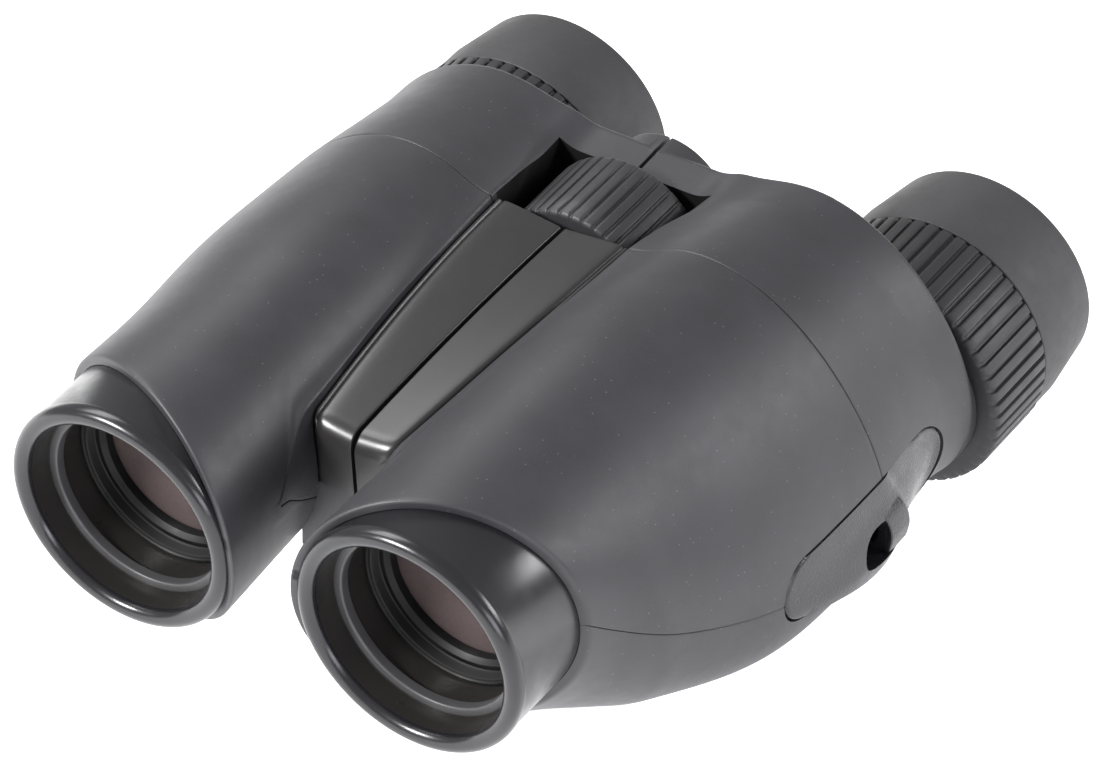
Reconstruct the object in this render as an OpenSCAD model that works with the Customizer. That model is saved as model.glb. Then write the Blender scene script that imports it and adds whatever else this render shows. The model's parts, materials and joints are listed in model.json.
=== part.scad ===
// Compact zoom binoculars with a reversed prism layout: the objectives sit close together and high,
// the eyepieces sit wider apart and lower. Every length is in millimetres.
// +Z is up, +Y runs from the objectives to the eyepieces, and +X is the user's left-hand barrel.
// The origin is at the middle of the length, on the centre plane, level with the lowest point.

/* [Optical layout] */
// Distance between the two objective axes
objective_spacing = 46; // [45:0.5:48]
// Distance between the two eyepiece axes with the barrels opened out
eyepiece_spacing = 70; // [69:0.5:71]
// How far the eyepiece axes lie below the objective axes
eyepiece_drop = 19; // [18.5:0.5:20]
// Overall length from the objective rims to the eyecups
overall_length = 123; // [121:1:125]

/* [Housing] */
// Wall thickness of the housing shells
wall = 1.6; // [1.4:0.1:1.8]
// Radius of the housing round the objective tube
nose_r = 18.5; // [18.3:0.1:19]
// Where the front shells meet the rear cover, measured from the objective rim
seam_y = 70; // [69:0.5:71]
// Rear end of the housing, measured from the objective rim
housing_end = 94.5; // [94:0.5:95]

/* [Objective] */
// Radius of the open mouth of the objective tube
mouth_r = 14.7; // [14.5:0.1:14.9]
// Outer radius of the objective tube at its lip
tube_r = 17.2; // [17:0.1:17.4]
// Radius of the objective lens
objective_r = 12.5; // [12:0.1:12.6]

/* [Eyepiece] */
// Outer radius of the ribbed ring on each eyepiece
ring_r = 17.75; // [17.5:0.05:18]
// Number of grooves round each ribbed ring
ring_grooves = 50; // [40:1:60]
// Radius of the eyecup where it meets the ribbed ring
eyecup_r = 17.5; // [17.2:0.1:17.6]
// Radius of the eyecup at its open end
eyecup_end_r = 16.2; // [15.8:0.1:16.6]

/* [Focus and hinge] */
// Radius of the focus wheel
wheel_r = 12.15; // [11.8:0.05:12.3]
// Number of grooves round the focus wheel
wheel_grooves = 40; // [30:1:50]
// Radius of the hinge shaft
shaft_r = 3; // [2.8:0.1:3.2]
// How far the hinge axis lies below the objective axes
hinge_drop = 1.4; // [1.2:0.1:1.6]

/* [Hidden] */

obj_x = objective_spacing / 2;
eye_x = eyepiece_spacing / 2;
eye_z = -eyepiece_drop;
hinge_z = -hinge_drop;
mid_y = overall_length / 2;
lift = eyepiece_drop + ring_r;
running = 0.05;     // radial clearance of a running fit
big = 200;

// Direction from the objective axis to the eyepiece axis, in the X-Z plane
offset_len = norm([eye_x - obj_x, eye_z]);
tilt = atan2(eye_z, eye_x - obj_x);

// Housing sections: [y, centre x, centre z, half length along the tilt, half width, exponent]
sections = [
    [8, obj_x, 0, nose_r, nose_r, 2],
    [28, 26.6, -4, 23.6, 18, 2.05],
    [48, 29, -7.3, 27.2, 19, 2.1],
    [seam_y, 29.6, -9.6, 26.5, 19, 2.1],
    [87, 29, -10.8, 24.3, 18.8, 2.15],
    [housing_end, 29, -12.2, 24.2, 19.2, 2.1]
];
last_section = len(sections) - 1;

function slope(i) =
    let (a = max(i - 1, 0), b = min(i + 1, last_section))
    (sections[b] - sections[a]) / (sections[b][0] - sections[a][0]);

function section_index(y, i = 0) =
    (i >= last_section - 1 || y < sections[i + 1][0]) ? i : section_index(y, i + 1);

// A section at any y, on a smooth curve through the sections listed
function section_at(y) =
    let (
        i = section_index(y),
        h = sections[i + 1][0] - sections[i][0],
        t = max(0, (y - sections[i][0]) / h)
    )
    (2 * t^3 - 3 * t^2 + 1) * sections[i] + (t^3 - 2 * t^2 + t) * h * slope(i)
    + (-2 * t^3 + 3 * t^2) * sections[i + 1] + (t^3 - t^2) * h * slope(i + 1);

// Half width of the top plate, and height of the housing shoulder beside it
function plate_half(y) = 7 + 2 * sin(min(90, max(0, (y - 23) * 2))) + (y - 23) * 0.032;
function shoulder_z(y) =
    y < 22 ? 10.8 - (22 - y) * 1.6 : y < 71 ? 10.8 + (y - 22) * 0.021 : 11.8 - (y - 71) * 0.13;

function smooth_max(a, b, k) = max(a, b) + pow(max(k - abs(a - b), 0), 2) / (4 * k);

// Distance from a section's centre to its edge at angle a, drawn in by inset
function oval_r(s, a, inset) =
    pow(pow(abs(cos(a - tilt)) / (s[3] - inset), s[5])
        + pow(abs(sin(a - tilt)) / (s[4] - inset), s[5]), -1 / s[5]);
function shoulder_r(y, s, a, inset) =
    (a <= 91 || a >= 179) ? 0
    : min((shoulder_z(y) - inset - s[2]) / sin(a),
          (s[1] - plate_half(y) - 0.5 - inset) / -cos(a));
function edge_r(y, s, a, inset) =
    smooth_max(oval_r(s, a, inset), shoulder_r(y, s, a, inset), 1.2);

// Front edge of the housing: an oblique cut that leans back on the outer side
lip_y = 7.8;
lip_slope = 0.4;

edge_steps = 60;
// One ring of points; lean is 1 at the oblique front edge and 0 further back
function ring_points(y, lean, inset) =
    let (s = section_at(y))
    [for (k = [0 : edge_steps - 1])
        let (
            a = 360 * k / edge_steps,
            r = edge_r(y, s, a, inset),
            x = s[1] + r * cos(a)
        )
        [x, y + lean * lip_slope * (x - obj_x), s[2] + r * sin(a)]
    ];

// Solid barrel through a list of [y, lean] rings
module barrel_solid(rings, inset = 0) {
    n = edge_steps;
    m = len(rings);
    points = [for (r = rings) each ring_points(r[0], r[1], inset)];
    sides = [for (i = [0 : m - 2]) for (k = [0 : n - 1]) for (half = [0, 1])
        let (a = i * n + k, b = i * n + (k + 1) % n)
        half == 0 ? [a, b, b + n] : [a, b + n, a + n]];
    polyhedron(
        points = points,
        faces = concat(
            sides,
            [[for (k = [0 : n - 1]) n - 1 - k]],
            [[for (k = [0 : n - 1]) (m - 1) * n + k]]
        ),
        convexity = 8
    );
}

front_rings = [[lip_y, 1], [13, 0.75], [19, 0.35], [26, 0], [36, 0], [47, 0], [58, 0], [seam_y, 0]];
rear_rings = [[seam_y + 0.1, 0], [75, 0], [81, 0], [87, 0], [91, 0], [housing_end, 0]];

// Cylinder about an axis parallel to Y
module along_y(x, z, y0, y1, r, r2 = -1) {
    translate([x, y0, z])
        rotate([-90, 0, 0])
            cylinder(h = y1 - y0, r1 = r, r2 = r2 < 0 ? r : r2, $fn = 96);
}

// Ring about an axis parallel to Y
module ring_y(x, z, y0, y1, r_out, r_in) {
    translate([x, y0, z])
        rotate([-90, 0, 0])
            rotate_extrude($fn = 96)
                translate([r_in, 0])
                    square([r_out - r_in, y1 - y0]);
}

// A turned shape about an axis parallel to Y, from [radius, y] points
module turned(x, z, profile) {
    translate([x, 0, z])
        rotate([-90, 0, 0])
            rotate_extrude($fn = 96)
                polygon(profile);
}

module box(low, high) {
    translate(low)
        cube(high - low);
}

// Every sub-part is drawn for the left barrel from the objective rim at y = 0
module place(side = 1) {
    translate([0, -mid_y, lift])
        if (side > 0) children();
        else mirror([1, 0, 0]) children();
}

// ---- Objective ----

bezel_back = 1.7;       // how far the wide part of the tube runs under the housing lip
baffle_y = 4.7;
baffle_t = 1.5;
baffle_r = 14.3;
core_r = 14.6;          // radius of the tube inside the housing
tube_end = 26;
cell_r = 13.6;
cell_y = 10.3;
cell_end = 24;
lens_y = 13.3;

module behind_lip(shift) {
    angle = atan(lip_slope);
    translate([obj_x, lip_y + shift, 0])
        rotate([0, 0, angle])
            translate([-big / 2, 0, -big / 2])
                cube(big);
}

module objective_tube() {
    color("#1d1d20") {
        difference() {
            union() {
                difference() {
                    turned(obj_x, 0, concat(
                        [[mouth_r, 0.5]],
                        [for (a = [180 : -15 : 0]) [(mouth_r + tube_r + 0.2) / 2
                            + (tube_r + 0.2 - mouth_r) / 2 * cos(a), 1.4 - 1.4 * sin(a)]],
                        [[tube_r, 2.6], [tube_r, 18], [mouth_r, 18]]
                    ));
                    behind_lip(bezel_back);
                }
                along_y(obj_x, 0, 2, 8, core_r + 1.1);
                along_y(obj_x, 0, 6, tube_end, core_r);
            }
            along_y(obj_x, 0, -1, baffle_y, mouth_r);
            along_y(obj_x, 0, baffle_y - 0.1, baffle_y + baffle_t, baffle_r);
            along_y(obj_x, 0, baffle_y, tube_end + 1, cell_r + running);
        }
    }
}

module baffle_ring() {
    color("#3a3a3c")
        ring_y(obj_x, 0, baffle_y, baffle_y + baffle_t, baffle_r, 13.1);
}

module objective_cell() {
    color("#2a2a2c")
        turned(obj_x, 0, [
            [cell_r, cell_y], [cell_r, cell_end], [11.2, cell_end], [11.2, lens_y + 5.2],
            [objective_r, lens_y + 5.2], [objective_r, cell_y + 1], [cell_r - 0.3, cell_y]
        ]);
}

function lens_profile(r, y0, y1, sag_front, sag_back) = concat(
    [for (k = [0 : 8]) [r * k / 8, y0 + sag_front * (k / 8)^2]],
    [for (k = [8 : -1 : 0]) [r * k / 8, y1 - sag_back * (k / 8)^2]]
);

module objective_lens() {
    color("#8a6f78")
        turned(obj_x, 0, lens_profile(objective_r, lens_y, lens_y + 5.2, 1.2, 0.6));
}

module retaining_ring() {
    color("#202022")
        ring_y(obj_x, 0, lens_y - 1, lens_y + 0.9, objective_r, 11.2);
}

nut_ring_r = 6.6;
neck_r = 5.2;
arm_y = [39.4, 42.8];
arm_t = 3;
arm_in = 11.4;          // inner and outer radius of the arm's rail round the objective axis
arm_out = 13.2;
rail_angle = 215;       // direction of the rail from the objective axis
rail_w = 4.4;
rail_mid = (arm_in + arm_out) / 2;
rail_x = obj_x + rail_mid * cos(rail_angle);
rail_z = rail_mid * sin(rail_angle);
arm_reach = norm([rail_x, rail_z - hinge_z]);
arm_dip = atan2(hinge_z - rail_z, rail_x);
focus_forward = 3;
focus_back = 0.5;

module focus_arm(i) {
    y0 = arm_y[i];
    color("#77787c")
        difference() {
            union() {
                along_y(0, hinge_z, y0, y0 + arm_t, nut_ring_r);
                translate([0, y0, hinge_z])
                    rotate([0, arm_dip, 0])
                        translate([4, 0, -2])
                            cube([arm_reach - 3.6, arm_t, 4]);
                translate([obj_x, cell_end, 0])
                    rotate([0, -rail_angle, 0])
                        translate([arm_in, 0, -rail_w / 2])
                            cube([arm_out - arm_in, y0 + arm_t - cell_end, rail_w]);
            }
            along_y(0, hinge_z, y0 - 1, y0 + arm_t + 1, neck_r + running);
        }
}

// ---- Housing ----

// The strap lug's outline on the side of the barrel, in the Y-Z plane: two arcs joined by tangents
lug_front = [51, -15.8, 5];
lug_rear = [79.5, -19.3, 7.6];

module lug_outline(grow) {
    d = [lug_rear[0] - lug_front[0], lug_rear[1] - lug_front[1]];
    r1 = lug_front[2] + grow;
    r2 = lug_rear[2] + grow;
    heading = atan2(d[1], d[0]);
    spread = acos((r1 - r2) / norm(d));
    c1 = [lug_front[0], lug_front[1]];
    c2 = [lug_rear[0], lug_rear[1]];
    translate(c1) circle(r1, $fn = 64);
    translate(c2) circle(r2, $fn = 64);
    polygon([for (q = [[c1, r1, 1], [c2, r2, 1], [c2, r2, -1], [c1, r1, -1]])
        q[0] + q[1] * [cos(heading + q[2] * spread), sin(heading + q[2] * spread)]]);
}

// Extrudes an outline drawn in (y, z) along X from x0 to x1
module extrude_x(x0, x1) {
    translate([x0, 0, 0])
        rotate([90, 0, 90])
            linear_extrude(x1 - x0)
                children();
}

// Height of the parting line between the upper and lower front shells
function parting_z(y) = y < 15 ? 0.6 + (15 - y) * 0.25 : 0.6 - 24 * (1 - exp(-(y - 15) / 27));

module below_parting(gap) {
    extrude_x(-5, 60)
        polygon(concat(
            [for (y = [-12, 15, 20, 26, 33, 41, 50, 60, 72]) [y, parting_z(y) - gap]],
            [[72, -60], [-12, -60]]
        ));
}

web_y = [26.5, 30.8];
web_t = 4;
web_x = 9.6;
web_half = 3.5;
window_y0 = arm_y[0] - focus_forward - 0.4;
window_y1 = arm_y[1] + arm_t + focus_back + 0.4;
screw_y = [35, 63];
screw_x = 29;
head_r = 2.1;

// Lowest height of the housing at y
function belly_z(y) = min([for (p = ring_points(y, 0, 0)) p[2]]);

module front_shell() {
    difference() {
        union() {
            hollow_front();
            intersection() {
                barrel_solid(front_rings);
                for (y = screw_y)
                    translate([screw_x, y, belly_z(y) - 1])
                        cylinder(h = 8, r = head_r + 1.4, $fn = 48);
            }
        }
        for (y = screw_y)
            translate([screw_x, y, belly_z(y)]) {
                translate([0, 0, -2]) cylinder(h = 3.6, r = head_r + 0.2, $fn = 48);
                cylinder(h = 6, r = 1.1, $fn = 32);
            }
    }
}

module hollow_front() {
    difference() {
        barrel_solid(front_rings);
        difference() {
            barrel_solid([[2, 1], [13, 0.75], [19, 0.35], [26, 0], [36, 0], [47, 0], [58, 0],
                          [seam_y + 4, 0]], wall);
            // solid collar behind the oblique lip
            behind_front_collar();
        }
        // seat of the wide part of the tube
        difference() {
            along_y(obj_x, 0, -20, 22, tube_r);
            behind_lip(bezel_back);
        }
        along_y(obj_x, 0, -20, tube_end, core_r);
        along_y(obj_x, 0, -20, 8, core_r + 1.1);
        // windows for the hinge web and the focus arm
        box([0, web_y[0], hinge_z - web_half], [11, web_y[1] + web_t, hinge_z + web_half]);
        box([0, window_y0, rail_z - 3], [13, window_y1, hinge_z + 0.4]);
        plate_room();
        extrude_x(36, 60) lug_outline(0.15);
    }
}

module behind_front_collar() {
    difference() {
        translate([-20, -20, -40]) cube([90, 60, 80]);
        behind_lip(2.6);
    }
}

module upper_shell() {
    color("#2b2b2d")
        difference() {
            front_shell();
            below_parting(-0.05);
        }
}

module lower_shell() {
    color("#29292b")
        intersection() {
            front_shell();
            below_parting(0.05);
        }
}

wheel_y0 = 72.5;
wheel_y1 = 87;
slot_y0 = 71.2;
slot_y1 = 88.2;
pocket_r = 13;
bridge_y1 = 95;
boss_r = 9.4;
boss_y1 = 97.2;
fold_half = 22;     // half angle of the wedge left open below the hinge
cam_r = 12;
knuckle_y = [88.4, 90];
knuckle_t = 1.4;
knuckle_r = 6;
cavity_end = 91.6;  // the rear wall is thick enough to hold the zoom band's channel
band_y0 = 92;
band_w = 1;
band_t = 0.25;
rear_hollow = [[seam_y - 3, 0], [75, 0], [81, 0], [87, 0], [cavity_end, 0]];

// Half of the rear bridge over the hinge, cut back below it so that the barrels can fold
module bridge_half(y0, y1) {
    translate([0, y1, 0])
        rotate([90, 0, 0])
            linear_extrude(y1 - y0)
                polygon([
                    [0.3, 7.7], [0.3, hinge_z], [0.3 + tan(fold_half) * 7, hinge_z - 7],
                    [14, hinge_z - 7], [14, 8.6], [9, 7.7]
                ]);
}

// Half of the round boss behind the bridge
module boss_half() {
    intersection() {
        along_y(0, hinge_z, bridge_y1 - 0.5, boss_y1, boss_r);
        translate([0, boss_y1 + 1, 0])
            rotate([90, 0, 0])
                linear_extrude(8)
                    polygon([[0.3, 20], [0.3, hinge_z],
                             [0.3 + tan(fold_half) * 18, hinge_z - 18], [20, hinge_z]]);
    }
}

// Outline of the zoom band in the X-Z plane: straight from the hinge axis, then round the cam
module band_outline(grow) {
    far = [eye_x, eye_z - hinge_z];
    reach = norm(far);
    r = cam_r + band_t / 2;
    heading = atan2(far[1], far[0]) + asin(r / reach);
    straight = sqrt(reach^2 - r^2);
    rotate(heading)
        translate([0.3 - grow * 4, -band_t / 2 - grow])
            square([straight - 0.3 + grow * 4, band_t + 2 * grow]);
    difference() {
        translate(far) circle(cam_r + band_t + grow, $fn = 96);
        translate(far) circle(cam_r - grow, $fn = 96);
        translate(far)
            rotate(heading + 90)
                translate([-big, -big / 2])
                    square([big, big / 2]);
    }
}

module band_solid(y0, y1, grow) {
    translate([0, y1, hinge_z])
        rotate([90, 0, 0])
            linear_extrude(y1 - y0)
                band_outline(grow);
}

module knuckle_web(i, grow) {
    box([0, knuckle_y[i], hinge_z - 3], [10 + grow, knuckle_y[i] + knuckle_t, hinge_z + 3]);
}

module rear_cover(i) {
    color("#2b2b2d")
        difference() {
            union() {
                difference() {
                    barrel_solid(rear_rings);
                    difference() {
                        barrel_solid(rear_hollow, wall);
                        along_y(0, hinge_z, seam_y + 0.1, bridge_y1, pocket_r + 1.2);
                        box([0, seam_y + 1, hinge_z], [13.8, bridge_y1, 20]);
                    }
                }
                difference() {
                    bridge_half(slot_y1, bridge_y1);
                    barrel_solid(rear_hollow, wall);
                }
                boss_half();
            }
            // the wheel's slot and pocket
            box([-1, slot_y0, hinge_z], [11, slot_y1, 30]);
            translate([11, slot_y0, hinge_z])
                rotate([0, 0, -5])
                    translate([-3, -1, 0])
                        cube([3, slot_y1 - slot_y0 + 1, 30]);
            along_y(0, hinge_z, slot_y0, slot_y1, pocket_r);
            // room for the knuckles, the zoom band and the end cap
            along_y(0, hinge_z, slot_y1 - 1, cavity_end + 0.2, knuckle_r + 0.3);
            knuckle_web(i, 0);
            band_solid(cavity_end - 0.2, band_y0 + band_w + 0.3, 0.35);
            along_y(0, hinge_z, bridge_y1, boss_y1 + 1, shaft_r + 0.3);
            along_y(eye_x, eye_z, cavity_end - 1, housing_end + 1, cam_r + band_t + 0.35);
            extrude_x(36, 60) lug_outline(0.15);
            plate_room();
        }
}

plate_y0 = 21.7;
plate_y1 = 71;
plate_t = 1.6;
function plate_z(y) = y < 44 ? 9.2 : 9.2 + 1.1 * ((y - 44) / 28)^2;

apron_z = -1.5;         // the plate's front wall reaches down to here
skirt_z = 2.4;          // and its side wall to here
plate_corner = 2;

// The plate's top seen from the side, with its rounded front, drawn in by inset and closed at a depth
module plate_side(inset, depth, end) {
    r = 2.5;
    polygon(concat(
        [[plate_y0 + inset, depth]],
        [for (a = [180 : -15 : 90])
            [plate_y0 + r + (r - inset) * cos(a), plate_z(0) - r + (r - inset) * sin(a)]],
        [for (y = [34 : 6 : 70]) [y, plate_z(y) - inset]],
        [[end, plate_z(plate_y1) - inset], [end, depth]]
    ));
}

// The plate seen from above, with its rounded front corner
module plate_plan(inset) {
    polygon(concat(
        [[0.3, plate_y0 + inset], [0.3, plate_y1 + 1]],
        [for (y = [plate_y1 + 1, 64, 56, 50, 44, 38, 31, 25]) [plate_half(y) - inset, y]],
        [for (a = [0 : -15 : -90])
            [plate_half(0) - plate_corner + (plate_corner - inset) * cos(a),
             plate_y0 + plate_corner + (plate_corner - inset) * sin(a)]]
    ));
}

// Everything behind the plate's front wall and below its side wall stays clear of the plate
module behind_apron() {
    box([-1, plate_y0 + plate_t, -5], [14, plate_y1 + 2, skirt_z]);
}

// Room for the plate in the housing
module plate_room() {
    difference() {
        translate([0, 0, apron_z - 0.15])
            linear_extrude(14)
                plate_plan(-0.15);
        translate([0, 0.15, -0.15]) behind_apron();
    }
}

module top_plate() {
    color("#161617")
        difference() {
            intersection() {
                extrude_x(0, 14) plate_side(0, apron_z, plate_y1);
                translate([0, 0, -5]) linear_extrude(17) plate_plan(0);
            }
            behind_apron();
            intersection() {
                extrude_x(-1, 14) plate_side(plate_t, -5, plate_y1 + 1);
                translate([0, 0, -5]) linear_extrude(17) plate_plan(1.4);
            }
            box([-1, plate_y1 - 4, -5], [plate_half(plate_y1) - 1.4, plate_y1 + 2, 8.4]);
        }
}

tub = [[40.4, 61.8, -25.8], [60, 77.2, -13.4]];
tub_wall = 1.2;
bar_y = 69.5;
bar_r = 1.6;

module strap_lug() {
    color("#1b1b1d")
        difference() {
            union() {
                intersection() {
                    barrel_solid([[40, 0], [48, 0], [56, 0], [64, 0], [72, 0], [80, 0], [88, 0],
                                  [93, 0]], -0.35);
                    difference() {
                        extrude_x(38, 60) lug_outline(0);
                        barrel_solid([[36, 0], [48, 0], [56, 0], [64, 0], [72, 0], [80, 0], [88, 0],
                                      [94, 0]], wall + 0.6);
                    }
                }
                intersection() {
                    barrel_solid([[40, 0], [56, 0], [64, 0], [72, 0], [80, 0], [93, 0]], wall + 0.3);
                    box(tub[0], tub[1]);
                }
            }
            difference() {
                box(tub[0] + [tub_wall, tub_wall, tub_wall], tub[1] - [0, tub_wall, tub_wall]);
                translate([50.2, bar_y, -13.5])
                    rotate([0, 18, 0])
                        translate([0, 0, -18])
                            cylinder(h = 24, r = bar_r, $fn = 48);
            }
        }
}

// Room inside the housing for the back of the lug, and for its tub
module lug_room() {
    difference() {
        extrude_x(38, 60) lug_outline(0.3);
        barrel_solid([[40, 0], [48, 0], [56, 0], [64, 0], [72, 0], [80, 0], [94, 0]], wall + 0.8);
    }
    box([tub[0][0] - 0.2, tub[0][1] - 0.3, tub[0][2] - 0.2], [60, tub[1][1] + 0.3, tub[1][2] + 0.2]);
}

// Two screws come up through the belly of the lower front shell
module screws() {
    color("#8d8f94")
        for (y = screw_y)
            translate([screw_x, y, belly_z(y) + 0.7])
                difference() {
                    union() {
                        cylinder(h = 0.9, r = head_r, $fn = 48);
                        cylinder(h = 5, r = 1.1, $fn = 32);
                    }
                    for (turn = [0, 90])
                        rotate([0, 0, turn])
                            translate([-1.3, -0.25, -0.1])
                                cube([2.6, 0.5, 0.6]);
                }
}

// ---- Prisms ----

// The light path turns through two prisms: across to the corner axis, then down to the eyepiece
leg = offset_len / sqrt(2);
across = tilt + 45;
down = tilt - 45;
corner_x = obj_x + leg * cos(across);
corner_z = leg * sin(across);
prism_half = 6;
rear_prism_y = 58;
front_prism_y = 56;

// A right-angle prism with rounded ends; its long face is at y and it points along dir
module prism(x, z, heading, y, dir) {
    half_len = leg / 2 + prism_half;
    translate([x, y, z])
        rotate([0, -heading, 0])
            intersection() {
                translate([leg / 2, 0, -prism_half])
                    linear_extrude(2 * prism_half)
                        polygon([[-half_len, 0], [half_len, 0], [1, dir * (half_len - 1)],
                                 [-1, dir * (half_len - 1)]]);
                rotate([dir > 0 ? -90 : 90, 0, 0])
                    linear_extrude(half_len) {
                        circle(prism_half, $fn = 64);
                        translate([leg, 0]) circle(prism_half, $fn = 64);
                        translate([0, -prism_half]) square([leg, 2 * prism_half]);
                    }
            }
}

module rear_prism() {
    color("#c8d8de") prism(obj_x, 0, across, rear_prism_y, 1);
}

module front_prism() {
    color("#c8d8de") prism(corner_x, corner_z, down, front_prism_y, -1);
}

// A flat plate that fills the housing from y0 to y1
module section_plate(y0, y1, inset) {
    s = section_at((y0 + y1) / 2);
    translate([0, y1, 0])
        rotate([90, 0, 0])
            linear_extrude(y1 - y0)
                polygon([for (k = [0 : edge_steps - 1])
                    let (a = 360 * k / edge_steps, r = edge_r((y0 + y1) / 2, s, a, inset))
                    [s[1] + r * cos(a), s[2] + r * sin(a)]]);
}

module prism_plate() {
    color("#3b3c3e")
        difference() {
            section_plate(front_prism_y + 0.05, rear_prism_y - 0.05, wall + 0.15);
            for (c = [[obj_x, 0], [corner_x, corner_z], [eye_x, eye_z]])
                along_y(c[0], c[1], front_prism_y - 1, rear_prism_y + 1, 5.4);
            plate_room();
            lug_room();
        }
}

eye_tube_r = 11.15;
tube_front = 77.5;

module bulkhead() {
    color("#3b3c3e")
        difference() {
            section_plate(tube_front - 2, tube_front, wall + 0.15);
            along_y(eye_x, eye_z, tube_front - 3, tube_front + 1, 9);
            along_y(0, hinge_z, tube_front - 3, tube_front + 1, pocket_r + 1.5);
            box([-1, tube_front - 3, hinge_z], [14.2, tube_front + 1, 20]);
            lug_room();
        }
}

// ---- Eyepiece ----

ring_y0 = 95.8;
ring_y1 = 108.6;
sleeve_r = 14.5;
tube_back = 118;

module eyepiece_tube() {
    color("#26272a")
        turned(eye_x, eye_z, [
            [10.2, tube_front], [eye_tube_r, tube_front], [eye_tube_r, ring_y0 + 1.6],
            [sleeve_r, ring_y0 + 1.6], [sleeve_r, tube_back], [10.2, tube_back]
        ]);
}

module zoom_cam(y1) {
    color("#8f8a7c")
        ring_y(eye_x, eye_z, 78, y1, cam_r, eye_tube_r + running);
}

module zoom_cell() {
    color("#3d3e42")
        turned(eye_x, eye_z, [
            [10.2 - running, 80], [10.2 - running, 90], [8.6, 90], [8.6, 86.5], [9.4, 86.5],
            [9.4, 83], [8.6, 83], [8.6, 80]
        ]);
}

module zoom_lens() {
    color("#a9bcc6")
        turned(eye_x, eye_z, lens_profile(9.4, 83, 86.5, 0.7, 0.7));
}

module ribbed_ring(bore) {
    difference() {
        translate([eye_x, ring_y1, eye_z])
            rotate([90, 0, 0])
                linear_extrude(ring_y1 - ring_y0)
                    difference() {
                        circle(ring_r, $fn = 180);
                        for (k = [0 : ring_grooves - 1])
                            rotate(360 * k / ring_grooves)
                                translate([ring_r - 0.55, -0.35])
                                    square([1, 0.7]);
                    }
        along_y(eye_x, eye_z, ring_y0 - 1, ring_y0 + 1.45, bore);
        along_y(eye_x, eye_z, ring_y0 + 1.4, ring_y1 + 1, sleeve_r + running);
    }
}

module zoom_ring() {
    color("#232326") ribbed_ring(eye_tube_r + running);
}

module dioptre_ring() {
    color("#232326") ribbed_ring(eye_tube_r + running);
}

module eyecup() {
    y0 = ring_y1 + 0.25;
    straight = 5;
    color("#252527")
        turned(eye_x, eye_z, [
            [sleeve_r, y0], [eyecup_r, y0], [eyecup_r, y0 + straight],
            [eyecup_end_r, overall_length - 1.1], [eyecup_end_r - 0.35, overall_length - 0.35],
            [eyecup_end_r - 1.1, overall_length], [eyecup_end_r - 1.9, overall_length - 0.35],
            [eyecup_end_r - 2.3, overall_length - 1.1], [eyecup_end_r - 2.6, tube_back + 0.8],
            [11.5, tube_back + 0.8], [11.5, tube_back], [sleeve_r, tube_back]
        ]);
}

module eye_lens_fixed() {
    color("#a9bcc6")
        turned(eye_x, eye_z, lens_profile(10.2, 111, 116, 1, 1.2));
}

// The right eyepiece carries its lens in a cell that the dioptre ring moves
module ocular_cell() {
    color("#3d3e42")
        turned(eye_x, eye_z, [
            [10.2 - running, 106], [10.2 - running, 115.8], [9.2, 115.8], [9.2, 114.4],
            [9.6, 114.4], [9.6, 110], [8.8, 110], [8.8, 106]
        ]);
}

module eye_lens_moving() {
    color("#a9bcc6")
        turned(eye_x, eye_z, lens_profile(9.6, 110, 114.4, 1, 1.2));
}

// ---- Hinge and focus ----

module front_knuckle(i) {
    color("#4a4b4e")
        difference() {
            union() {
                along_y(0, hinge_z, web_y[i], web_y[i] + web_t, 5.5);
                box([0, web_y[i], hinge_z - web_half], [web_x, web_y[i] + web_t, hinge_z + web_half]);
            }
            along_y(0, hinge_z, web_y[i] - 1, web_y[i] + web_t + 1,
                    i == 0 ? shaft_r : shaft_r + running);
        }
}

module rear_knuckle(i) {
    color("#4a4b4e")
        difference() {
            union() {
                along_y(0, hinge_z, knuckle_y[i], knuckle_y[i] + knuckle_t, knuckle_r);
                knuckle_web(i, 0);
            }
            along_y(0, hinge_z, knuckle_y[i] - 1, knuckle_y[i] + knuckle_t + 1,
                    i == 0 ? shaft_r : shaft_r + running);
        }
}

shaft_y0 = 25.6;
shaft_y1 = 91.5;

module hinge_shaft() {
    color("#9a9ca1") along_y(0, hinge_z, shaft_y0, shaft_y1, shaft_r);
}

module hinge_front_cap() {
    color("#1b1b1d") along_y(0, hinge_z, shaft_y0 - 1.5, shaft_y0, 4.4);
}

module hinge_rear_cap() {
    color("#1b1b1d") along_y(0, hinge_z, bridge_y1, boss_y1 - 0.2, shaft_r + 0.2);
}

screw_r = 4.5;
thread_y0 = 42;

module focus_screw() {
    color("#b59a55")
        ring_y(0, hinge_z, thread_y0, wheel_y0, screw_r, shaft_r + running);
}

module focus_wheel() {
    color("#202023")
        difference() {
            translate([0, wheel_y1, hinge_z])
                rotate([90, 0, 0])
                    linear_extrude(wheel_y1 - wheel_y0)
                        difference() {
                            circle(wheel_r, $fn = 160);
                            for (k = [0 : wheel_grooves - 1])
                                rotate(360 * k / wheel_grooves)
                                    translate([wheel_r - 0.5, -0.4])
                                        square([1, 0.8]);
                        }
            along_y(0, hinge_z, wheel_y0 - 1, wheel_y1 + 1, shaft_r + running);
        }
}

nut_y0 = 38.2;
nut_y1 = 50.8;

module focus_nut() {
    color("#b59a55")
        turned(0, hinge_z, [
            [screw_r + running, nut_y0], [nut_ring_r - 0.3, nut_y0],
            [nut_ring_r - 0.3, arm_y[0] - running],
            [neck_r, arm_y[0] - running], [neck_r, arm_y[1] + arm_t + running],
            [nut_ring_r - 0.3, arm_y[1] + arm_t + running], [nut_ring_r - 0.3, nut_y1],
            [screw_r + running, nut_y1]
        ]);
}

// Half of the thin strip that carries the zoom motion, from the hinge line to the cam
module zoom_band() {
    color("#b9bcc2") band_solid(band_y0, band_y0 + band_w, 0);
}

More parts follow.
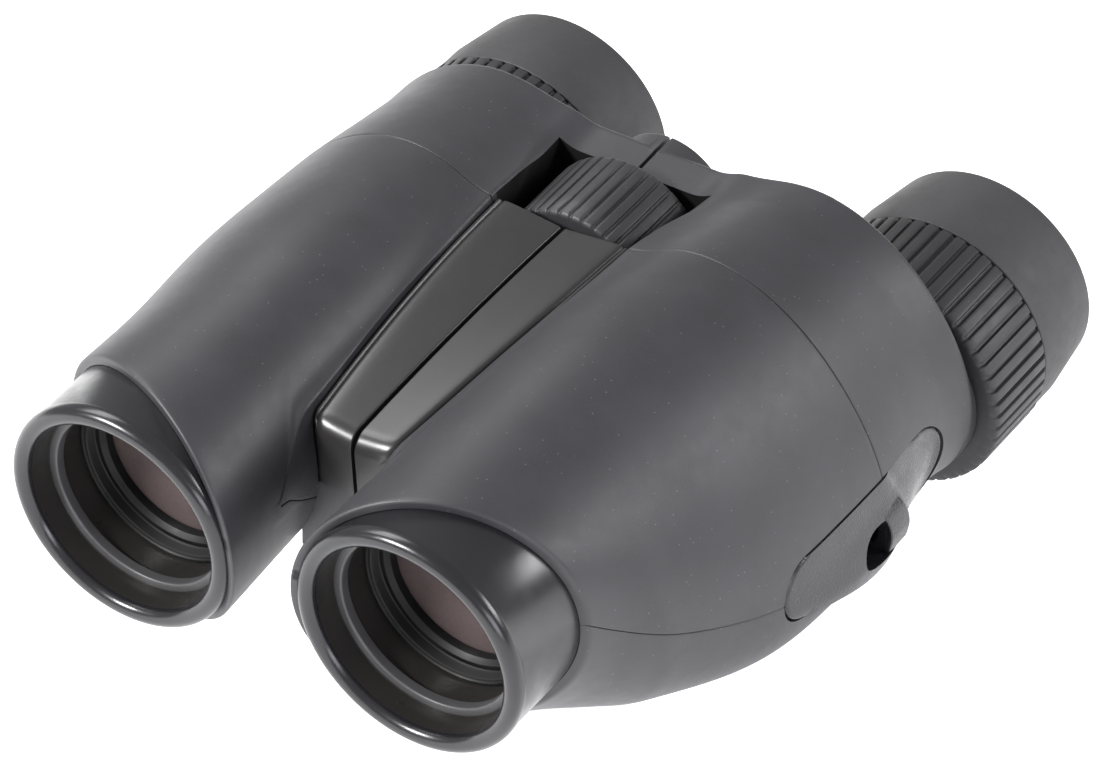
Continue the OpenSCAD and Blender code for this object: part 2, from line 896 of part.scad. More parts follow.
place() objective_tube();  // left_objective_tube
place() baffle_ring();  // left_baffle_ring
place() objective_lens();  // left_objective_lens
place() objective_cell();  // left_objective_cell
place() retaining_ring();  // left_retaining_ring
place() focus_arm(0);  // left_focus_arm
place() upper_shell();  // left_upper_shell
place() lower_shell();  // left_lower_shell
place() rear_cover(0);  // left_rear_cover
place() top_plate();  // left_top_plate
place() strap_lug();  // left_strap_lug
place() front_prism();  // left_front_prism
place() rear_prism();  // left_rear_prism
place() prism_plate();  // left_prism_plate
place() bulkhead();  // left_bulkhead
place() eyepiece_tube();  // left_eyepiece_tube
place() zoom_cam(ring_y0);  // left_zoom_cam
place() zoom_cell();  // left_zoom_cell
place() zoom_lens();  // left_zoom_lens
place() eye_lens_fixed();  // left_eye_lens
place() eyecup();  // left_eyecup
place() front_knuckle(0);  // left_front_knuckle
place() rear_knuckle(0);  // left_rear_knuckle
place() zoom_band();  // left_zoom_band
place() screws();  // left_screws
place(-1) objective_tube();  // right_objective_tube
place(-1) baffle_ring();  // right_baffle_ring
place(-1) objective_lens();  // right_objective_lens
place(-1) objective_cell();  // right_objective_cell
place(-1) retaining_ring();  // right_retaining_ring
place(-1) focus_arm(1);  // right_focus_arm
place(-1) upper_shell();  // right_upper_shell
place(-1) lower_shell();  // right_lower_shell
place(-1) rear_cover(1);  // right_rear_cover
place(-1) top_plate();  // right_top_plate
place(-1) strap_lug();  // right_strap_lug
place(-1) front_prism();  // right_front_prism
place(-1) rear_prism();  // right_rear_prism
place(-1) prism_plate();  // right_prism_plate
place(-1) bulkhead();  // right_bulkhead
place(-1) eyepiece_tube();  // right_eyepiece_tube
place(-1) zoom_cam(housing_end);  // right_zoom_cam
place(-1) zoom_cell();  // right_zoom_cell
place(-1) zoom_lens();  // right_zoom_lens
place(-1) eye_lens_moving();  // right_eye_lens
place(-1) eyecup();  // right_eyecup
place(-1) front_knuckle(1);  // right_front_knuckle
place(-1) rear_knuckle(1);  // right_rear_knuckle
place(-1) zoom_band();  // right_zoom_band
place(-1) screws();  // right_screws
place() zoom_ring();
place(-1) dioptre_ring();
place(-1) ocular_cell();  // right_ocular_cell
place() hinge_shaft();
place() focus_wheel();
place() focus_screw();
place() focus_nut();
place() hinge_front_cap();
place() hinge_rear_cap();
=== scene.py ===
import json
import math

import bmesh
import bpy
import numpy as np
from mathutils import Matrix, Vector


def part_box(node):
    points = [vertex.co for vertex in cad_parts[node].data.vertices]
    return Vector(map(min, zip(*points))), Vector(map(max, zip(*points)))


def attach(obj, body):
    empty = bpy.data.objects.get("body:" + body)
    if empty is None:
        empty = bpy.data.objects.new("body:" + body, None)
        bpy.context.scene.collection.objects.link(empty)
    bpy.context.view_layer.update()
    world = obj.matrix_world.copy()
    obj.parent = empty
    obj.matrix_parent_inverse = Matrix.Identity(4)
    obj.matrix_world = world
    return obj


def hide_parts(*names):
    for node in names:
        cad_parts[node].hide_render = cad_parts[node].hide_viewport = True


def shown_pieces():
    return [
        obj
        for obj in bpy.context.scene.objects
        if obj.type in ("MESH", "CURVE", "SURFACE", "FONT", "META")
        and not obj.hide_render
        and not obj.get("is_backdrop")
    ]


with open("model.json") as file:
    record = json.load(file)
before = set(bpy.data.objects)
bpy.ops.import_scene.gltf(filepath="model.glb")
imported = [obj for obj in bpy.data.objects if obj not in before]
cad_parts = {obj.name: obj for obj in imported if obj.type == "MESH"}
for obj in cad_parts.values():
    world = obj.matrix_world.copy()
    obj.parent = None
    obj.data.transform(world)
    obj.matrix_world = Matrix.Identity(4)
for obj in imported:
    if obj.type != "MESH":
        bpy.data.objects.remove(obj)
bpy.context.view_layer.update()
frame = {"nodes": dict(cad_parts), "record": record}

NODES = frame["nodes"]
MM = 0.001
FULL_TURN = 2 * math.pi
SIDES = ((1, "left"), (-1, "right"))


def middle(node):
    """Centre of a CAD node's box, in millimetres."""
    lo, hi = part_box(node)
    return (lo + hi) / 2 / MM


# Shapes are drawn in millimetres for the +X barrel, from the objective rim at y = 0 and with the
# objective axis at z = 0. The -X barrel is the same drawing mirrored. RIM_Y and AXIS_Z place the
# drawing in the row frame. The others are where the axes lie in the drawing.
RIM_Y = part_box("left_objective_tube")[0].y / MM
AXIS_Z = middle("left_objective_lens").z
OBJ_X = middle("left_objective_lens").x
EYE_X = middle("left_zoom_lens").x
EYE_Z = middle("left_zoom_lens").z - AXIS_Z
HINGE_Z = middle("hinge_shaft").z - AXIS_Z


# ---------------------------------------------------------------- meshes

FINE = 256  # points round the parts that are seen from close by


def mesh_of(name, verts, faces):
    """A closed mesh with its normals outwards."""
    mesh = bpy.data.meshes.new(name)
    mesh.from_pydata([tuple(v) for v in np.asarray(verts, float).reshape(-1, 3)], [], faces)
    bm = bmesh.new()
    bm.from_mesh(mesh)
    bmesh.ops.recalc_face_normals(bm, faces=bm.faces)
    bm.to_mesh(mesh)
    bm.free()
    return mesh


def temp(mesh):
    ob = bpy.data.objects.new("temp", mesh)
    bpy.context.scene.collection.objects.link(ob)
    return ob


def combine(mesh, others, operation):
    """The mesh with each of the other meshes taken away, added or intersected."""
    ob = temp(mesh)
    for other_mesh in others:
        other = temp(other_mesh)
        mod = ob.modifiers.new("combine", "BOOLEAN")
        mod.object = other
        mod.operation = operation
        mod.solver = "MANIFOLD"
        graph = bpy.context.evaluated_depsgraph_get()
        result = bpy.data.meshes.new_from_object(ob.evaluated_get(graph))
        if not result.polygons:
            raise RuntimeError("a cut left nothing of " + mesh.name)
        ob.modifiers.clear()
        ob.data = result
        bpy.data.objects.remove(other)
    result = ob.data
    bpy.data.objects.remove(ob)
    return result


def less(mesh, *cutters):
    return combine(mesh, cutters, "DIFFERENCE")


def plus(mesh, *others):
    return combine(mesh, others, "UNION")


def both(mesh, *others):
    return combine(mesh, others, "INTERSECT")


def grid_faces(rows, cols, wrap, first=0, flip=False):
    faces = []
    for i in range(rows - 1):
        for k in range(cols if wrap else cols - 1):
            a, b = first + i * cols + k, first + i * cols + (k + 1) % cols
            quad = (a, b, b + cols, a + cols)
            faces.append(quad[::-1] if flip else quad)
    return faces


def tube_mesh(name, rings):
    """A closed solid through rings of points, with flat ends."""
    rings = np.asarray(rings, float)
    rows, cols = rings.shape[:2]
    faces = grid_faces(rows, cols, True)
    faces.append(tuple(range(cols))[::-1])
    faces.append(tuple((rows - 1) * cols + k for k in range(cols)))
    return mesh_of(name, rings, faces)


def patch_mesh(name, outer, inner):
    """A closed solid between two open grids of points of the same size."""
    rows, cols = outer.shape[:2]
    count = rows * cols
    faces = grid_faces(rows, cols, False) + grid_faces(rows, cols, False, count, True)
    edge = list(range(cols))
    edge += [i * cols + cols - 1 for i in range(1, rows)]
    edge += [(rows - 1) * cols + k for k in range(cols - 2, -1, -1)]
    edge += [i * cols for i in range(rows - 2, 0, -1)]
    for a, b in zip(edge, edge[1:] + edge[:1]):
        faces.append((b, a, a + count, b + count))
    return mesh_of(name, np.concatenate([outer.reshape(-1, 3), inner.reshape(-1, 3)]), faces)


def hexahedron(corners):
    """Eight corners, X changing fastest, then Y, then Z."""
    return mesh_of("box", corners, [(0, 2, 3, 1), (4, 5, 7, 6), (0, 1, 5, 4), (1, 3, 7, 5),
                                    (3, 2, 6, 7), (2, 0, 4, 6)])


def box_mesh(low, high):
    (x0, y0, z0), (x1, y1, z1) = low, high
    return hexahedron([[x, y, z] for z in (z0, z1) for y in (y0, y1) for x in (x0, x1)])


def prism_x(outline, x0, x1):
    """A solid whose outline is a list of (y, z), running from x0 to x1."""
    o = np.asarray(outline, float)
    return tube_mesh("prism", [np.column_stack([np.full(len(o), x), o]) for x in (x0, x1)])


def prism_y(outline, y0, y1):
    """A solid whose outline is a list of (x, z), running from y0 to y1."""
    return tube_mesh("prism", [[(x, y, z) for x, z in outline] for y in (y0, y1)])


def prism_z(outline, z0, z1):
    """A solid whose outline is a list of (x, y), running from z0 to z1."""
    o = np.asarray(outline, float)
    return tube_mesh("prism", [np.column_stack([o, np.full(len(o), z)]) for z in (z0, z1)])


def round_corners(points, radius, steps=4):
    """Rounds the corners of a closed outline. radius is one number, or one for each corner."""
    most_of_side = 0.45
    nearly_straight = 1.5  # half of the angle between two sides, in radians
    points = [np.array(p, float) for p in points]
    radii = radius if isinstance(radius, (list, tuple)) else [radius] * len(points)
    out = []
    for i, p in enumerate(points):
        a, b = points[i - 1] - p, points[(i + 1) % len(points)] - p
        la, lb = np.linalg.norm(a), np.linalg.norm(b)
        a, b = a / la, b / lb
        half = math.acos(max(-1, min(1, a @ b))) / 2
        reach = min(radii[i] / max(math.tan(half), 1e-6), most_of_side * la, most_of_side * lb)
        if radii[i] <= 0 or half > nearly_straight:
            out.append(p)
            continue
        start, end = p + a * reach, p + b * reach
        for t in np.linspace(0, 1, steps + 1):
            out.append((1 - t) ** 2 * start + 2 * t * (1 - t) * p + t * t * end)
    return out


def groove_profile(groove):
    """Points across one pitch, as (place, share of the depth). groove is its share of the pitch."""
    half = groove / 2
    flat = 0.5 - half
    return [(-0.5, 0), (-0.5 + flat * 0.4, 0), (-half * 1.5, 0), (-half * 1.1, 0.08),
            (-half * 0.85, 0.5), (-half * 0.62, 0.92), (-half * 0.3, 1), (half * 0.3, 1),
            (half * 0.62, 0.92), (half * 0.85, 0.5), (half * 1.1, 0.08), (half * 1.5, 0),
            (0.5 - flat * 0.4, 0)]


def lathe(name, x, z, outline, steps=192, depth=None, count=0, groove=0.34):
    """A closed outline of (radius, y) turned about an axis along Y. With a count, that many grooves
    are cut round it, as deep at each of the outline's points as depth says."""
    outline = np.asarray(outline, float)
    if count:
        shape = groove_profile(groove)
        turn = np.array([(k + s[0]) / count for k in range(count) for s in shape]) * FULL_TURN
        cut = np.array([s[1] for _ in range(count) for s in shape])
    else:
        turn = np.arange(steps) / steps * FULL_TURN
        cut = np.zeros(steps)
    depth = np.zeros(len(outline)) if depth is None else np.asarray(depth, float)
    r = outline[:, 0][:, None] - depth[:, None] * cut[None, :]
    points = np.stack([x + r * np.cos(turn), np.repeat(outline[:, 1][:, None], len(turn), 1),
                       z + r * np.sin(turn)], -1)
    rows, cols = len(outline), len(turn)
    faces = []
    on_axis = outline[:, 0] < 1e-6
    for i in range(rows):
        j = (i + 1) % rows
        if on_axis[i] and on_axis[j]:
            continue
        for k in range(cols):
            n = (k + 1) % cols
            a, b, c, d = i * cols + k, i * cols + n, j * cols + n, j * cols + k
            if on_axis[i]:
                faces.append((i * cols, c, d))
            elif on_axis[j]:
                faces.append((a, b, j * cols))
            else:
                faces.append((a, b, c, d))
    used = sorted({v for f in faces for v in f})
    new = {v: i for i, v in enumerate(used)}
    area = sum(outline[i - 1][0] * outline[i][1] - outline[i][0] * outline[i - 1][1]
               for i in range(rows))
    faces = [tuple(new[v] for v in (f if area < 0 else f[::-1])) for f in faces]
    return mesh_of(name, points.reshape(-1, 3)[used], faces)


def cylinder(x, z, y0, y1, r, steps=128):
    return lathe("cylinder", x, z, [(0, y0), (r, y0), (r, y1), (0, y1)], steps)


def add(name, mesh, body, material, slot, *nodes, side=1, crease=32):
    """Puts a mesh drawn in millimetres in place as a piece that stands for some CAD nodes."""
    mesh = mesh.copy()
    mesh.name = name
    mesh.transform(Matrix.Translation((0, RIM_Y * MM, AXIS_Z * MM)) @ Matrix.Diagonal(
        (side * MM, MM, MM, 1)))
    if side < 0:
        mesh.flip_normals()
    mesh.shade_smooth()
    mesh.set_sharp_from_angle(angle=math.radians(crease))
    if not mesh.materials:
        mesh.materials.append(None)
    mesh.materials[0] = material
    piece = bpy.data.objects.new(name, mesh)
    bpy.context.scene.collection.objects.link(piece)
    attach(piece, body)
    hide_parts(*nodes)


def add_pair(name, mesh, material, slot, *nodes, crease=32):
    """One piece on each barrel, for nodes named left_ and right_."""
    for side, hand in SIDES:
        add(f"{hand}_{name}", mesh, hand + "_barrel", material, slot,
            *[f"{hand}_{n}" for n in nodes], side=side, crease=crease)


def paint(mesh, chosen, material):
    """A second material for the faces that chosen picks by their centre and normal. The tube's bore
    gets a finish of its own this way, and the walls of the wheel's slot get painted shade.
    """
    mesh.materials.clear()
    mesh.materials.append(None)
    mesh.materials.append(material)
    for face in mesh.polygons:
        if chosen(face.center, face.normal):
            face.material_index = 1


# ---------------------------------------------------------------- curves

def smooth_step(t):
    return t * t * (3 - 2 * t)


def smooth_max(a, b, k):
    return np.maximum(a, b) + np.maximum(k - np.abs(a - b), 0) ** 2 / (4 * k)


def smooth_table(ys, values, width):
    """A broken line through (ys, values), smoothed over a width, as a function of y."""
    step = 0.25
    fine = np.arange(-30, 150, step)
    line = np.interp(fine, ys, values)
    n = int(width / step)
    kernel = np.hanning(2 * n + 3)[1:-1]
    line = np.convolve(np.pad(line, n, "edge"), kernel / kernel.sum(), "valid")
    return lambda y: float(np.interp(y, fine, line))


def crossing(a, b, before, steps=40):
    """The place between a and b where before stops being true, by halving."""
    for _ in range(steps):
        m = (a + b) / 2
        if before(m):
            a = m
        else:
            b = m
    return (a + b) / 2


def rounding(d, radius):
    """How far an edge of that radius drops at distance d from the edge."""
    d = np.clip(d, 0, radius)
    return radius - np.sqrt(np.maximum(radius**2 - (radius - d) ** 2, 0))


def edge_steps(radius):
    """Distances from a rounded edge, closest together at the edge and up to its radius."""
    steps = np.array([0, 0.03, 0.08, 0.15, 0.24, 0.36])
    return steps * radius / steps[-1]


def stations(start, end, count, edge_start, edge_end):
    """Values from start to end, close together at the two rounded edges."""
    a, b = start + edge_steps(edge_start), end - edge_steps(edge_end)[::-1]
    return np.concatenate([a, np.linspace(a[-1], b[0], count + 2)[1:-1], b])


# ---------------------------------------------------------------- housing surface

# The cross-sections are ovals whose long axis lies along the line from the objective axis to the
# eyepiece axis: [y, centre x, centre z, half length, half width, exponent]
SECTIONS = np.array([
    [8, 23, 0, 18.5, 18.5, 2],
    [28, 26.6, -4, 23.6, 18, 2.05],
    [48, 29, -7.3, 27.2, 19, 2.1],
    [70, 29.6, -9.6, 26.5, 19, 2.1],
    [87, 29, -10.8, 24.3, 18.8, 2.15],
    [94.5, 29, -12.2, 24.2, 19.2, 2.1],
])
TILT = math.atan2(EYE_Z, EYE_X - OBJ_X)
WALL = 1.6
LIP_Y, LIP_SLOPE = 7.8, 0.4  # the oblique front edge, where it crosses the objective axis
SEAM_Y, SEAM_GAP = 70.0, 0.06
HOUSING_END = 94.5
LIP_ROUND, SEAM_ROUND, END_ROUND = 0.5, 0.2, 0.9
PARTING_GAP = 0.03  # each shell's share of the line where they meet
BRIDGE_Z = 7.8  # top of the bridge behind the wheel
WHEEL_Y0, WHEEL_Y1 = 72.5, 87.0
SLOT_Y0, SLOT_Y1 = 71.2, 88.2  # the slot that the wheel stands in
SADDLE_Y = 76  # from here back, the edge beside the slot softens into the bridge
SHOULDER_BLEND = 2.8
CORNER_SPAN = 0.05  # half of the angle in which points are close together at a corner

# How much of the lip's slope each section has
LEAN = smooth_table([-20, LIP_Y, 13, 19, 26], [1, 1, 0.75, 0.35, 0], 2.5)
# Height of the shoulder beside the plate
SHOULDER = smooth_table([0, 22, 71, 100], [-24.8, 10.4, 11.4, 7.9], 2.5)
# The surface is drawn in a little at the seam and again ahead of its rear edge
CREASE = smooth_table([40, 58, SEAM_Y, 71, 80, 87.6, HOUSING_END],
                      [0, 0.12, 0, 0.05, 0.3, 0.42, 0.1], 0.5)

PLATE_Y0, PLATE_Y1 = 21.7, 71.0


def plate_half(y):
    """Distance of the plate's outer edge from the centre plane."""
    start = 23
    widening = math.sin(math.radians(min(90, max(0, (y - start) * 2))))
    return 7 + 2 * widening + (y - start) * 0.032


def slope(i):
    a, b = max(i - 1, 0), min(i + 1, len(SECTIONS) - 1)
    return (SECTIONS[b] - SECTIONS[a]) / (SECTIONS[b][0] - SECTIONS[a][0])


def section_at(y):
    """The cross-section at y, on a smooth curve through the table."""
    i = int(np.clip(np.searchsorted(SECTIONS[:, 0], y) - 1, 0, len(SECTIONS) - 2))
    h = SECTIONS[i + 1][0] - SECTIONS[i][0]
    t = max(0.0, (y - SECTIONS[i][0]) / h)
    return ((2 * t**3 - 3 * t**2 + 1) * SECTIONS[i] + (t**3 - 2 * t**2 + t) * h * slope(i)
            + (-2 * t**3 + 3 * t**2) * SECTIONS[i + 1] + (t**3 - t**2) * h * slope(i + 1))


def parting_z(y):
    """Height of the line where the upper and lower shells meet."""
    start, height, drop = 15, 0.6, 24
    return np.where(y < start, height + (start - y) * 0.25,
                    height - drop * (1 - np.exp(-(y - start) / 27)))


def edge_r(y, s, a, inset, bridge=False):
    """How far the surface lies from the section's centre at the angles a, drawn in by inset."""
    oval = ((np.abs(np.cos(a - TILT)) / (s[3] - inset)) ** s[5]
            + (np.abs(np.sin(a - TILT)) / (s[4] - inset)) ** s[5]) ** (-1 / s[5])
    inner_top = (a > 1.6) & (a < 3.12)
    sin, cos = np.where(inner_top, np.sin(a), 1), np.where(inner_top, -np.cos(a), 1)

    def ledge(x, z, k):
        """An inner top corner with its upright face at x and its flat face at z."""
        flat, upright = (z - inset - s[2]) / sin, (s[1] - x - inset) / cos
        return np.where(inner_top, -smooth_max(-flat, -upright, k), 0)

    t = 0
    if bridge:
        t = smooth_step(float(np.clip((y - SADDLE_Y) / (SLOT_Y1 - SADDLE_Y), 0, 1)))
    r = smooth_max(oval, ledge(plate_half(y) + 0.5, SHOULDER(y), 1 + 4 * t), SHOULDER_BLEND)
    if bridge:
        r = smooth_max(r, ledge(-1.5, BRIDGE_Z, 0.3), 0.5 + 3 * t)
    return r


def ring(y, a, inset=0.0, bridge=False):
    """Points of the housing surface at the angles a, drawn in by inset."""
    s = section_at(y)
    a = np.mod(a, FULL_TURN)
    r = edge_r(y, s, a, inset + CREASE(y), bridge)
    x = s[1] + r * np.cos(a)
    return np.stack([x, y + LEAN(y) * LIP_SLOPE * (x - OBJ_X), s[2] + r * np.sin(a)], -1)


def surface_rate(y, a):
    """Millimetres of surface for each radian at the angle a."""
    nudge = 0.01
    return np.linalg.norm(ring(y, np.array([a + nudge]))[0] - ring(y, np.array([a]))[0]) / nudge


def corner_angle(y):
    """The angle of the housing's inner top corner, beside the plate."""
    s = section_at(y)
    x, z = plate_half(y) + 0.5, SHOULDER(y)
    return min(math.atan2(max(z - s[2], 1.0), x - s[1]), 2.95)


def parting_angle(y, below, above):
    """The angle where the surface crosses the parting line, between two angles in degrees."""
    def under(a):
        point = ring(y, np.array([a]))[0]
        return point[2] < parting_z(point[1])

    return crossing(math.radians(below), math.radians(above), under)


def front_shell(upper):
    """The housing ahead of the seam, above or below the parting line, with rounded edges."""
    near = edge_steps(SEAM_ROUND) + PARTING_GAP
    drop_near = rounding(near - PARTING_GAP, SEAM_ROUND)
    outer, inner = [], []
    for y in stations(LIP_Y, SEAM_Y, 90, LIP_ROUND, SEAM_ROUND):
        drop_y = rounding(y - LIP_Y, LIP_ROUND) + rounding(SEAM_Y - y, SEAM_ROUND)
        start, end = parting_angle(y, -75, 60), parting_angle(y, 262, 100)
        if not upper:
            start, end = end, start + FULL_TURN
        head = start + near / surface_rate(y, start)
        tail = end - near[::-1] / surface_rate(y, end)
        if upper:
            c0, c1 = corner_angle(y) - CORNER_SPAN, corner_angle(y) + CORNER_SPAN
            stretches = (head[-1], c0, 110), (c0, c1, 16), (c1, tail[0], 50)
        else:
            stretches = ((head[-1], tail[0], 120),)
        between = np.concatenate([np.linspace(p, q, n)[1:] for p, q, n in stretches])[:-1]
        drop_a = np.concatenate([drop_near, np.zeros(len(between)), drop_near[::-1]])
        a = np.concatenate([head, between, tail])
        outer.append(ring(y, a, drop_y + drop_a))
        inner.append(ring(y, a, WALL))
    return patch_mesh("front_shell", np.array(outer), np.array(inner))


def closed_rings(ys, insets, steps, bridge_from=math.inf):
    """Whole rings of the housing surface, with points close together at the inner top corner."""
    rings = []
    for y, inset in zip(ys, np.broadcast_to(insets, len(ys))):
        c0, c1 = corner_angle(y) - CORNER_SPAN, corner_angle(y) + CORNER_SPAN
        past_corner = corner_angle(y) + 0.7
        a = np.concatenate([np.linspace(p, q, n, endpoint=False) for p, q, n in (
            (0, c0, int(steps * 0.5)), (c0, c1, 16), (c1, past_corner, int(steps * 0.25)),
            (past_corner, FULL_TURN, int(steps * 0.3)))])
        rings.append(ring(y, a, inset, y > bridge_from))
    return rings


# ---------------------------------------------------------------- strap lug surface

LUG_FRONT, LUG_REAR = (51.0, -15.8, 5.0), (79.5, -19.3, 7.6)  # y, z and radius of its two ends
LUG_DEPTH = 2.1

# The strap's slot, as (y, z)
SLOT = np.array([(63.4, -22.3), (69.5, -24.2), (75.6, -25.0), (77.6, -23.4), (76.4, -20.6),
                 (72.5, -18.2), (66.6, -16.4), (63.6, -17.4), (62.4, -20.0)])


def lug_outline(grow, steps=40):
    """The lug's outline in (y, z), counter-clockwise."""
    along = np.array(LUG_REAR[:2]) - LUG_FRONT[:2]
    front_r, rear_r = LUG_FRONT[2] + grow, LUG_REAR[2] + grow
    heading = math.atan2(along[1], along[0])
    spread = math.acos((front_r - rear_r) / np.linalg.norm(along))
    out = []
    for (y, z, _), r, start, end in ((LUG_REAR, rear_r, -spread, spread),
                                     (LUG_FRONT, front_r, spread, FULL_TURN - spread)):
        for a in np.linspace(start, end, steps):
            out.append((y + r * math.cos(heading + a), z + r * math.sin(heading + a)))
    return np.array(out)


LUG_EDGE = lug_outline(-0.08, 160)


def side_point(y, z, stand):
    """The point of the housing's outer side at (y, z), moved straight out by stand."""
    s = section_at(y)

    def radius(a):
        return float(edge_r(y, s, np.array(a), CREASE(y)))

    a = crossing(math.radians(-88), math.radians(70), lambda a: s[2] + radius(a) * math.sin(a) < z,
                 26)
    r = radius(a) + stand
    return [s[1] + r * math.cos(a), y, s[2] + r * math.sin(a)]


def lug_stand(y, z):
    """How far the lug stands out from the housing. It swells towards its lower middle and is
    scooped out behind that."""
    from_edge = float(np.min(np.hypot(LUG_EDGE[:, 0] - y, LUG_EDGE[:, 1] - z)))
    low = float(np.clip((-14 - z) / 7, 0, 1))
    swell = 1.7 * math.exp(-((y - 66) / 12) ** 2) * smooth_step(low)
    behind = 1 / (1 + math.exp(-(y - 71.4 + (z + 11.7) * 0.5) * 6))
    scoop = 0.9 * behind * math.exp(-((z + 20) / 8) ** 2)
    flush = 0.12 - float(rounding(from_edge, 0.55))
    return flush + (swell - scoop) * math.sqrt(min(1, from_edge / 1.8))


def lug_panel():
    """The lug without its slot."""
    by_y = LUG_EDGE[np.argsort(LUG_EDGE[:, 0])]
    y0, y1 = by_y[0, 0], by_y[-1, 0]
    across = np.cos(np.linspace(0.02, math.pi - 0.02, 44))
    outer, inner = [], []
    for u in np.linspace(0.05, math.pi - 0.04, 90):
        y = y0 + (y1 - y0) * (1 - math.cos(u)) / 2
        z_mid = np.interp(y, [LUG_FRONT[0], LUG_REAR[0]], [LUG_FRONT[1], LUG_REAR[1]])
        high, low = by_y[by_y[:, 1] > z_mid], by_y[by_y[:, 1] <= z_mid]
        z1, z0 = np.interp(y, high[:, 0], high[:, 1]), np.interp(y, low[:, 0], low[:, 1])
        zs = (z0 + z1) / 2 - (z1 - z0) / 2 * across
        outer.append([side_point(y, z, lug_stand(y, z)) for z in zs])
        inner.append([side_point(y, z, -LUG_DEPTH) for z in zs])
    return patch_mesh("lug", np.array(outer), np.array(inner))


def slot_prism(grow, x0):
    """The strap's slot from x0 outwards, or the block round it when grown, with smooth corners."""
    out = SLOT
    for _ in range(4):
        after = np.roll(out, -1, axis=0)
        out = np.stack([0.75 * out + 0.25 * after, 0.25 * out + 0.75 * after], 1).reshape(-1, 2)
    away = out - SLOT.mean(axis=0)
    return prism_x(out + away / np.linalg.norm(away, axis=1)[:, None] * grow, x0, 60)


def bar_mesh():
    """The bar that the strap goes round: a flat strip with rounded edges across the slot."""
    section = round_corners([(-2.3, -2.6), (2.3, -2.6), (2.3, 0.0), (-2.3, 0.0)], 0.35, 5)
    rings = []
    for t in np.linspace(0, 1, 25):
        z = -15.4 - 9.4 * t
        y = 70.2 + 1.9 * math.sin(math.pi / 2 * min(1, t * 1.4))
        stand = np.interp(t, [0, 0.1, 0.2, 0.45, 0.85, 0.94, 1],
                          [-0.7, 0.2, 0.35, 0.1, 0.1, -0.3, -0.8])
        face = np.array(side_point(y, z, lug_stand(y, z) + stand))
        inwards = side_point(y, z, -5) - face
        inwards /= np.linalg.norm(inwards)
        rings.append([face - inwards * c[1] + [0, c[0], 0] for c in section])
    return tube_mesh("bar", rings[::-1])


# ---------------------------------------------------------------- materials

def material(name, colour, roughness, *, tone=0.0, grain=0.0, grain_size=0.3, grain_height=0.02,
             rough_vary=0.05, specks=0.0, metallic=0.0, specular=0.5, sheen=0.0):
    """A procedural finish. Sizes and heights are in millimetres."""
    m = bpy.data.materials.new(name)
    m.use_nodes = True
    nodes, links = m.node_tree.nodes, m.node_tree.links
    shader = nodes["Principled BSDF"]
    shader.inputs["Metallic"].default_value = metallic
    shader.inputs["Specular IOR Level"].default_value = specular
    shader.inputs["Sheen Weight"].default_value = sheen
    shader.inputs["Sheen Roughness"].default_value = 0.4
    where = nodes.new("ShaderNodeTexCoord").outputs["Object"]

    def noise(size, detail=3.0):
        n = nodes.new("ShaderNodeTexNoise")
        n.inputs["Scale"].default_value = 1 / (size * MM)
        n.inputs["Detail"].default_value = detail
        links.new(where, n.inputs["Vector"])
        return n.outputs["Fac"]

    def span(value, low, high, out_low, out_high):
        r = nodes.new("ShaderNodeMapRange")
        r.inputs["From Min"].default_value, r.inputs["From Max"].default_value = low, high
        r.inputs["To Min"].default_value, r.inputs["To Max"].default_value = out_low, out_high
        links.new(value, r.inputs["Value"])
        return r.outputs["Result"]

    def mix(share, a, b):
        node = nodes.new("ShaderNodeMix")
        node.data_type = "RGBA"
        # sockets 6 and 7 are the two colours, and output 2 is the mixed one
        for socket, value in ((0, share), (6, a), (7, b)):
            if isinstance(value, tuple):
                node.inputs[socket].default_value = (*value, 1)
            else:
                links.new(value, node.inputs[socket])
        return node.outputs[2]

    def times(factor):
        return tuple(c * factor for c in colour)

    base = mix(span(noise(9), 0.35, 0.65, 0, 1), times(1 - tone), times(1 + tone))
    base = mix(span(noise(grain_size * 1.3, 2), 0.3, 0.7, 0, 0.5), base, times(1.35))
    if specks:
        spots = nodes.new("ShaderNodeTexVoronoi")
        spots.inputs["Scale"].default_value = 1 / (1.5 * MM)
        links.new(where, spots.inputs["Vector"])
        base = mix(span(spots.outputs["Distance"], 0.045, 0.075, specks, 0), base,
                   (0.28, 0.28, 0.3))
    rough = span(noise(2.2, 4), 0.3, 0.7, roughness - rough_vary, roughness + rough_vary)
    links.new(base, shader.inputs["Base Color"])
    links.new(rough, shader.inputs["Roughness"])
    if grain:
        bump = nodes.new("ShaderNodeBump")
        bump.inputs["Strength"].default_value = grain
        bump.inputs["Distance"].default_value = grain_height * MM
        links.new(noise(grain_size, 2), bump.inputs["Height"])
        links.new(bump.outputs["Normal"], shader.inputs["Normal"])
    return m


HOUSING = material("soft_touch_black", (0.026, 0.025, 0.029), 0.47, tone=0.14, grain=0.55,
                   grain_size=0.17, grain_height=0.022, rough_vary=0.025, specks=0.35, sheen=0.03)
TUBE = material("satin_tube_black", (0.011, 0.011, 0.013), 0.24, tone=0.12, grain=0.3,
                grain_size=0.16, grain_height=0.014, rough_vary=0.03)
BORE = material("bore_black", (0.018, 0.017, 0.016), 0.32, tone=0.1, grain=0.3, grain_size=0.2,
                specular=0.3)
PLATE = material("plate_black", (0.019, 0.018, 0.018), 0.31, tone=0.08, grain=0.25,
                 grain_size=0.35, rough_vary=0.012)
LUG = material("lug_black", (0.013, 0.013, 0.016), 0.27, tone=0.18, grain=1.0, grain_height=0.06,
               specks=0.3)
RUBBER = material("rubber_black", (0.03, 0.029, 0.031), 0.58, tone=0.12, grain=0.4,
                  grain_size=0.25, sheen=0.05)
RIB_RUBBER = material("ribbed_rubber", (0.021, 0.02, 0.022), 0.5, tone=0.12, grain=0.4,
                      grain_size=0.2, specks=0.2)
# Near-black matt finish of the parts inside the tubes. The walls of the wheel's slot get it too, as
# painted shade.
MATT_AND_SLOT_SHADE = material("matt_and_painted_slot_shade", (0.007, 0.007, 0.007), 0.5, tone=0.1, grain=0.3, grain_size=0.2,
                specular=0.25)
